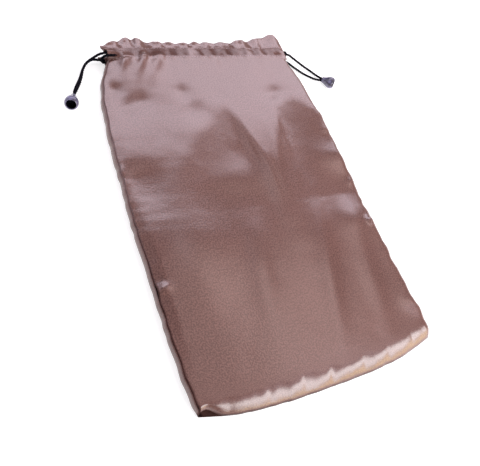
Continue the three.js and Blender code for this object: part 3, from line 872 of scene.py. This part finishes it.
# %% Side seams of the front
SEAM_DIP = 0.15
SEAM_DIP_REACH = 1
SEAM_WAVES = [(0.2, 9, 41), (0.12, 5, 42)]
RIGHT_SIDE_WAVES = [(0.45, 12, 43), (0.25, 6, 44)]
SIDE_WAVE_REACH = 9
SIDE_PUCKERS = [
    dict(side="left", y=-74, rise=2.8, wide=5, reach=6),
    dict(side="left", y=-90, rise=0.6, wide=5, reach=9),
    dict(side="left", y=-54, rise=0.5, wide=5, reach=5),
    dict(side="right", y=-50, rise=2.6, wide=4, reach=4),
    dict(side="right", y=-4, rise=0.9, wide=5, reach=5),
    dict(side="right", y=58, rise=0.6, wide=5, reach=6),
    dict(side="right", y=-138, rise=2, wide=9, reach=11),
]
PUCKER_IN = {"left": 4, "right": 7}
# Painted shade: a dark line in the left side seam and along the bottom fold, where little light gets in.
SEAM_SHADE_LOW = 0.75
SEAM_SHADE_HIGH = 0.1
SEAM_SHADE_SPAN = (-90, 40)
SEAM_SHADE_REACH = 0.5
FOLD_SHADE = 0.9
FOLD_SHADE_HALF = 0.7


def side_height(y, from_seam, from_right):
    """What the thread of the two side seams does to the front beside them."""
    height = waves(y, SEAM_WAVES) * fade(from_seam, SIDE_WAVE_REACH)
    height = height + waves(y, RIGHT_SIDE_WAVES) * fade(from_right, SIDE_WAVE_REACH)
    height = height - SEAM_DIP * fade(from_seam, SEAM_DIP_REACH)
    inward = {"left": from_seam - PUCKER_IN["left"], "right": from_right - PUCKER_IN["right"]}
    for pucker in SIDE_PUCKERS:
        bump = hill(y - pucker["y"], pucker["wide"]) * hill(inward[pucker["side"]], pucker["reach"])
        height = height + pucker["rise"] * bump
    return height


def seam_shade_strength(y):
    """How much painted shade lies in the left side seam: deep near the bottom and hardly there further up.
    """
    return mix(SEAM_SHADE_LOW, SEAM_SHADE_HIGH, smoothstep(y, *SEAM_SHADE_SPAN))


print(f"{len(SIDE_PUCKERS)} puckers on the sides, {len(BOTTOM_PUCKERS)} on the bottom fold")

# %% Front panel
FRONT_CUT = (252, 352)


def front_points(across, along):
    share = row_shares(along)
    section = body_section(share)
    main = MAIN_COLUMNS / (MAIN_COLUMNS + ROLL_COLUMNS)
    seam, right_edge = left_seam(section), section["right"]
    roll_start = right_edge - RIGHT_ROLL
    rolled = np.sin(np.clip((across - main) / (1 - main), 0, 1) * np.pi / 2)
    x = np.where(across <= main, mix(seam, roll_start, across / main), roll_start + RIGHT_ROLL * rolled)
    pulled = hill(x - CORNER_PULL_X, CORNER_PULL_HALF)
    edge = bottom_edge(x) + CORNER_PULL * pulled
    y = mix(edge, PANEL_TOP, share)
    from_seam, from_right, from_fold = x - seam, right_edge - x, y - edge
    crown = front_height(x, y, section) + side_height(y, from_seam, from_right)
    body = mix(RIGHT_SEAM_HEIGHT + SEAM_GAP, crown, quarter_round(from_right, RIGHT_ROLL))
    rim = RIM_HEIGHT + CORNER_LIFT * hill(from_seam, CORNER_LIFT_WIDTH)
    roll = bottom_roll(x)
    creases = bottom_creases(x) * np.sin(np.pi * np.clip(from_fold / roll, 0, 1))
    z = mix(rim, body, fold_profile(from_fold, roll)) - creases
    # Painted shade in the left seam and along the bottom fold, less where the corner is pulled up.
    seam_shade = seam_shade_strength(y) * fade(from_seam, SEAM_SHADE_REACH)
    fold_shade = FOLD_SHADE * hill(from_fold, FOLD_SHADE_HALF) * (1 - pulled)
    return np.stack([x, y, z, np.maximum(seam_shade, fold_shade)], axis=1)


front_mesh = bmesh.new()
add_sheet(front_mesh, MAIN_COLUMNS + ROLL_COLUMNS, PANEL_ROWS, front_points)
front_satin = satin_finish("satin_front", *FRONT_CUT)
front = add_wall(new_piece("front_satin", front_mesh, front_satin), CLOTH)
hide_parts("front_panel")

# %% [markdown]
# ## Back panel
# The back lies on the table. On the right it rolls up a little way to meet the front, and on the left it
# rolls right round to the top, where the side seam shows as a line of painted shade a few millimetres in
# from the edge. Along the bottom fold, and widest under the pulled-up left corner of the front, the back
# is painted darker as shade too. A quarter roll, a flat part and a half roll are three stretches of one
# grid, so the cloth has no join where none is sewn. It shares the outline of the front, which keeps the
# two together along the seams.

# %% Back panel
RIGHT_SEAM_COLUMNS = 10
FLAT_COLUMNS = 56
LEFT_ROLL_COLUMNS = 20
BACK_COLUMNS = RIGHT_SEAM_COLUMNS + FLAT_COLUMNS + LEFT_ROLL_COLUMNS
BACK_CUT = (262, 345)
BACK_DIP_POWER = 8
BACK_SEAM_POWER = 24
# Painted shadow on the back under the pulled-up left corner of the front.
SLOT_SHADOW_POWER = 4
SLOT_SHADOW_SPREAD = 1.5


def back_points(across, along):
    share = row_shares(along)
    section = body_section(share)
    knots = np.cumsum([0, RIGHT_SEAM_COLUMNS, FLAT_COLUMNS, LEFT_ROLL_COLUMNS])
    column = np.interp(across * knots[-1], knots, range(len(knots)))
    on_right, round_left = column < 1, np.clip(column - 2, 0, 1)
    left_middle = section["left"] + LEFT_FLATTEN * section["left_roll"]
    right_middle = section["right"] - section["right_seam"]
    angle = np.where(on_right, np.pi * (2 - 0.5 * column), np.pi * (1.5 - round_left))
    middle = np.where(on_right, right_middle, left_middle)
    radius = np.where(on_right, section["right_seam"], section["left_roll"])
    flatten = np.where(on_right, 1, LEFT_FLATTEN)
    rolled = on_right | (column > 2)
    flat_x = mix(right_middle, left_middle, column - 1)
    x = np.where(rolled, middle + flatten * radius * np.cos(angle), flat_x)
    z = np.where(rolled, radius + radius * np.sin(angle), 0) - SEAM_DIP * round_left**BACK_DIP_POWER
    edge = bottom_edge(x)
    y = mix(edge, PANEL_TOP, share)
    # Painted shade in the side seam and along the bottom fold, widened into a painted shadow under the
    # corner.
    seam_shade = seam_shade_strength(y) * round_left**BACK_SEAM_POWER
    slot_shadow = np.exp(-(((x - CORNER_PULL_X) / CORNER_PULL_HALF) ** SLOT_SHADOW_POWER))
    fold_shade = FOLD_SHADE * hill(y - edge, mix(FOLD_SHADE_HALF, SLOT_SHADOW_SPREAD * CORNER_PULL, slot_shadow))
    return np.stack([x, y, z, np.maximum(seam_shade, fold_shade)], axis=1)


back_mesh = bmesh.new()
add_sheet(back_mesh, BACK_COLUMNS, PANEL_ROWS, back_points)
back_satin = satin_finish("satin_back", *BACK_CUT)
back = add_wall(new_piece("back_satin", back_mesh, back_satin), CLOTH)
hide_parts("back_panel")

# %% [markdown]
# ## Casings and frill
# The top of each panel is turned over into a hem. Two rows of stitches make the hem a channel for the
# cords, and what stands above the upper row is the frill. The hem is one folded strip, so it is one grid:
# it runs up the front layer, over the fold of the frill, and down the back layer, and its two ends stay
# open where the cords come out. The gathers press uneven tucks into the front channel. Little of the
# window gets into them, so besides their depth in the shape, the front channel gets uneven brown patches
# of painted shade, darkest in the tucks.

# %% Sizes of the casings
casing_low, casing_high = (np.array(corner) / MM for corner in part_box("front_casing"))
CASING_LEFT = -93.5
CASING_RIGHT = casing_high[0]
CASING_LOW = casing_low[1]
CASING_HIGH = CASING_LOW + 11
FRONT_BASE = casing_low[2]
CHANNEL_HEIGHT = 4.7
CHANNEL_RISE = [(1, 0), (4, 0.6), (7, 1)]
CHANNEL_SLOPE = 2.8
CHANNEL_FLOOR = 0.05
NECK_START = 1.4
NECK_DROP = 0.1
NECK_END = 0.2
INNER_EDGE = 0.4
LOWEST = 0.02
LIP_BELOW_TOP = 1.9
STITCHED_HALF = 0.9
FRILL_HALF = 0.55
FRILL_LIFT = 1.4
FRILL_LEVEL = 0.3
FRILL_NOTCH = 1
FRILL_LEAST = 1
FRILL_ROUND = 0.5
FRILL_FLARE = 5
FLARE_REACH = 30
FLARE_SPAN = (CASING_HIGH - 3, CASING_HIGH + 1)
RUFFLE_WAVES = [(0.5, 7, 53), (0.25, 3.4, 54)]
RUFFLE_EDGE = 0.4
BACK_FRILL_SHORTER = 3
HEM_LAP = 4.5
HEM_EDGE_WAVES = [(0.8, 9, 57)]
HEM_SUNK = 0.15
HEM_OVER = 0.2
HEM_THICKNESS = 0.5
TUCKS = (-84, -71, -53, -44, -27, -13, 3, 17, 36, 53, 68, 81)
TUCK_HALF = 4.4
TUCK_DEPTH = 0.9
PUFF_WAVES = [(0.3, 5.2, 51)]
# Strength of the painted shade in the channel's tucks.
TUCK_SHADE = 0.42
SHADE_IN_TUCKS = 0.6
SHADE_BETWEEN = 0.3
SHADE_WAVES = [(0.45, 13, 55), (0.35, 4, 56)]
SHADE_START = (CASING_LOW - 1, CASING_LOW + 3)
SHADE_END = (CASING_HIGH - 1, CASING_HIGH + 2)
CASING_COLUMNS = 260
CASING_ROWS = 64
HEM_CUT = {"front": (246, 44), "back": (225, 42)}
print(f"the casing is {CASING_RIGHT - CASING_LEFT:.1f} mm wide and starts at y {CASING_LOW:.1f} mm")


# %% Section of a casing
def tuck_wave(x):
    """1 in the middle of each tuck of the gathered channel and 0 away from them."""
    return sum(hill(x - tuck, TUCK_HALF) for tuck in TUCKS)


def casing_knots(x, base, shorter, pleated):
    """Corners of the folded hem's section at each place across the mouth, as pairs of y and z."""
    wave = pleat_wave(x)
    scallop = 1 - (1 - wave) ** 2
    ruffle = waves(x, RUFFLE_WAVES)
    puffs = PLEAT_LIFT * wave - TUCK_DEPTH * tuck_wave(x) + waves(x, PUFF_WAVES)
    top = base + CHANNEL_HEIGHT + puffs * pleated
    lip = base + CLOTH + (CHANNEL_HEIGHT - LIP_BELOW_TOP + puffs) * pleated
    frill = lip + (FRILL_LIFT * (scallop - FRILL_LEVEL) + ruffle) * pleated
    edge = read(PLEATS, "x", "crest", x) - shorter - FRILL_NOTCH * (1 - scallop) + RUFFLE_EDGE * ruffle
    edge = np.maximum(edge, CASING_HIGH + FRILL_LEAST)
    under, panel = np.full_like(x, base + CLOTH), np.full_like(x, base + CLOTH)
    if pleated:
        section = body_section(np.ones_like(x))
        under = front_height(x, np.full_like(x, CASING_LOW - HEM_LAP), section) - HEM_SUNK
        panel = front_height(x, np.full_like(x, PANEL_TOP), section)
    low, high = np.full_like(x, CASING_LOW), np.full_like(x, CASING_HIGH)
    middle, frill_middle = (high + edge) / 2, (lip + frill) / 2
    floor_z = np.full_like(x, base + CHANNEL_FLOOR)
    hem_edge = [(low - HEM_LAP + waves(x, HEM_EDGE_WAVES), under)]
    channel = [(low + far, mix(panel + HEM_OVER, top, share)) for far, share in CHANNEL_RISE]
    neck = [(high - NECK_START, top - NECK_DROP), (high + NECK_END, lip + STITCHED_HALF)]
    frill_front = [(middle, frill_middle + FRILL_HALF), (edge - FRILL_ROUND, frill + FRILL_HALF)]
    frill_back = [(edge - FRILL_ROUND, frill - FRILL_HALF), (middle, frill_middle - FRILL_HALF)]
    behind = [
        (high, lip - STITCHED_HALF), (high - CHANNEL_SLOPE, floor_z), (low + CHANNEL_SLOPE, floor_z),
        (low + INNER_EDGE, np.maximum(lip - STITCHED_HALF, floor_z)),
    ]
    knots = hem_edge + channel + neck + frill_front + [(edge, frill)] + frill_back + behind
    return np.stack([np.stack(knot, axis=1) for knot in knots], axis=1)


# %% Casings
def channel_shade(x, y):
    """Painted shade in the tucks of the channel, uneven along it and only between its rows of stitches."""
    uneven = SHADE_IN_TUCKS * tuck_wave(x) + SHADE_BETWEEN + waves(x, SHADE_WAVES)
    inside = smoothstep(y, *SHADE_START) * (1 - smoothstep(y, *SHADE_END))
    return TUCK_SHADE * np.clip(uneven, 0, 1) * inside


def casing_points(base, shorter, pleated):
    def place(across, along):
        x = mix(CASING_LEFT, CASING_RIGHT, across)
        knots = casing_knots(x, base, shorter, pleated)
        spans = knots.shape[1] - 1
        at = np.clip(along * spans, 0, spans - 1e-9)
        i = np.floor(at).astype(int)
        n = np.arange(len(x))
        a, b = knots[n, np.maximum(i - 1, 0)], knots[n, i]
        c, d = knots[n, i + 1], knots[n, np.minimum(i + 2, spans)]
        y, z = bend(b, c, (c - a) / 2, (d - b) / 2, (at - i)[:, None]).T
        near_end = 1 - smoothstep(x - CASING_LEFT, 0, FLARE_REACH)
        flare = FRILL_FLARE * near_end * smoothstep(y, *FLARE_SPAN)
        return np.stack([x - flare, y, np.maximum(z, LOWEST), pleated * channel_shade(x, y)], axis=1)

    return place


for name, base, shorter, pleated in (("front", FRONT_BASE, 0, 1), ("back", 0, BACK_FRILL_SHORTER, 0)):
    casing_mesh = bmesh.new()
    add_sheet(casing_mesh, CASING_COLUMNS, CASING_ROWS, casing_points(base, shorter, pleated))
    hem_satin = satin_finish(f"satin_{name}_hem", *HEM_CUT[name])
    add_wall(new_piece(f"{name}_hem", casing_mesh, hem_satin), HEM_THICKNESS)
    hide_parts(f"{name}_casing")

# %% [markdown]
# ## Stitches
# The two rows of stitches that close the channel are short runs of thread that sink into the satin. An
# array modifier would lay them in a straight row, but these follow the puffs of the hem. Each is a small
# ball drawn out along the seam, with few faces, because there are many of them, and a loop sets each at
# the hem's height.

# %% Stitches
STITCH_LENGTH = 2.1
STITCH_WIDTH = 0.42
STITCH_FLATTEN = 0.8
STITCH_PITCH = 3.1
STITCH_MARGIN = 2
STITCH_ROWS = [
    dict(y=CASING_LOW + 0.5, knot=1, lift=-0.05),
    dict(y=CASING_HIGH - 0.1, knot=5, lift=0.05),
]

stitch_mesh = bmesh.new()
stitch_x = np.arange(CASING_LEFT + STITCH_MARGIN, CASING_RIGHT - STITCH_MARGIN, STITCH_PITCH)
hem_section = casing_knots(stitch_x, FRONT_BASE, 0, 1)
stretch = Matrix.Diagonal((STITCH_LENGTH / STITCH_WIDTH, 1, STITCH_FLATTEN, 1))
for row in STITCH_ROWS:
    for x, z in zip(stitch_x, hem_section[:, row["knot"], 1] + row["lift"]):
        spot = Matrix.Translation(Vector((x, row["y"], z)) * MM) @ stretch
        bmesh.ops.create_uvsphere(
            stitch_mesh, u_segments=6, v_segments=4, radius=STITCH_WIDTH / 2 * MM, matrix=spot
        )
stitches = new_piece("hem_stitches", stitch_mesh, MAUVE_THREAD)
print(f"{len(STITCH_ROWS)} rows of {len(stitch_x)} stitches")

# %% [markdown]
# ## What the cloth was cut to
# Cloth keeps the size that it was cut to, however it lies. Whoever folds or fills the pouch later needs
# these flat sizes. Each satin's weave is laid out to its piece's size, and the sizes are printed here.


print("cut sizes in mm:", FRONT_CUT, BACK_CUT, HEM_CUT)

# %% [markdown]
# ## Floor and light
# The floor is plain white paper. Satin needs something to mirror, and a room picture would do that too,
# but soft panels can be set one by one. A broad cool window behind the mouth gives the upper half its
# lilac sheen. A warm ceiling, with a lamp in it, lights the lower half. A small skylight and a pale wall
# lift the left side. Three panels before the bottom fold, lilac, white and peach from high to low, draw
# the bright band along it. An even pale surround fills the rest.

# %% Floor
FLOOR_SIZE = 4
FLOOR_GAP = 0.3
PAPER = (0.6, 0.6, 0.6, 1)
PAPER_GLOW = 0.7

paper, _, _, paper_shader = new_finish("white_paper")
paper_shader.inputs["Base Color"].default_value = PAPER
paper_shader.inputs["Roughness"].default_value = 0.9
paper_shader.inputs["Emission Color"].default_value = (1, 1, 1, 1)
paper_shader.inputs["Emission Strength"].default_value = PAPER_GLOW
floor_mesh = bmesh.new()
bmesh.ops.create_grid(floor_mesh, x_segments=1, y_segments=1, size=FLOOR_SIZE / 2)
bmesh.ops.translate(floor_mesh, vec=(0, 0, -FLOOR_GAP * MM), verts=floor_mesh.verts)
floor_data = bpy.data.meshes.new("floor")
floor_mesh.to_mesh(floor_data)
floor_mesh.free()
floor_data.materials.append(paper)
floor = bpy.data.objects.new("floor", floor_data)
bpy.context.scene.collection.objects.link(floor)
print(f"floor is {FLOOR_SIZE} m wide")

# %% Lights
COOL = (0.96, 0.85, 0.97)
WARM = (1.0, 0.76, 0.72)


def add_panel(name, place, aim, size, colour, radiance):
    """Soft rectangular light of a given brightness per area, aimed at a point."""
    lamp = bpy.data.lights.new(name, "AREA")
    lamp.shape = "RECTANGLE"
    lamp.size, lamp.size_y = size
    lamp.color = colour
    lamp.energy = radiance * math.pi * size[0] * size[1]
    panel = bpy.data.objects.new(name, lamp)
    toward = Vector(aim) - Vector(place)
    panel.matrix_world = Matrix.Translation(place) @ toward.to_track_quat("-Z", "Y").to_matrix().to_4x4()
    panel.visible_camera = False
    bpy.context.scene.collection.objects.link(panel)
    print(f"{name}: {lamp.energy:.2f} W")


add_panel("window", (0.5, 0.8, 0.81), (0.5, 0.02, 0), (1.6, 0.45), COOL, 3.5)
add_panel("ceiling", (0.55, 0.06, 1.0), (0.55, 0.08, 0), (1.0, 0.66), WARM, 0.74)
add_panel("ceiling_lamp", (0.62, 0.08, 0.99), (0.62, 0.1, 0), (0.36, 0.36), WARM, 1.15)
add_panel("skylight", (0.28, 0.4, 1.0), (-0.08, -0.03, 0), (0.3, 0.24), (0.92, 0.88, 1.0), 0.5)
add_panel("left_wall", (-0.75, 0.65, 0.5), (-0.12, 0.0, 0), (1.2, 0.9), (0.86, 0.82, 1.0), 0.9)
add_panel("front_high", (0.56, -0.52, 0.95), (0.0, -0.17, 0), (1.0, 0.42), (0.95, 0.82, 0.92), 1.1)
add_panel("front_white", (0.62, -0.93, 0.64), (0.0, -0.17, 0), (1.25, 0.56), (1.0, 0.96, 0.97), 6.5)
add_panel("front_peach", (0.69, -1.0, 0.17), (0.0, -0.17, 0), (1.25, 0.3), (1.0, 0.78, 0.5), 4.5)

# %% Surround and picture
SURROUND = (0.98, 0.98, 1.0, 1)
SURROUND_STRENGTH = 0.3

world = bpy.data.worlds.new("pale_surround")
world.use_nodes = True
world.node_tree.nodes["Background"].inputs["Color"].default_value = SURROUND
world.node_tree.nodes["Background"].inputs["Strength"].default_value = SURROUND_STRENGTH
bpy.context.scene.world = world
bpy.context.scene.view_settings.view_transform = "Standard"
print("surround strength", SURROUND_STRENGTH)
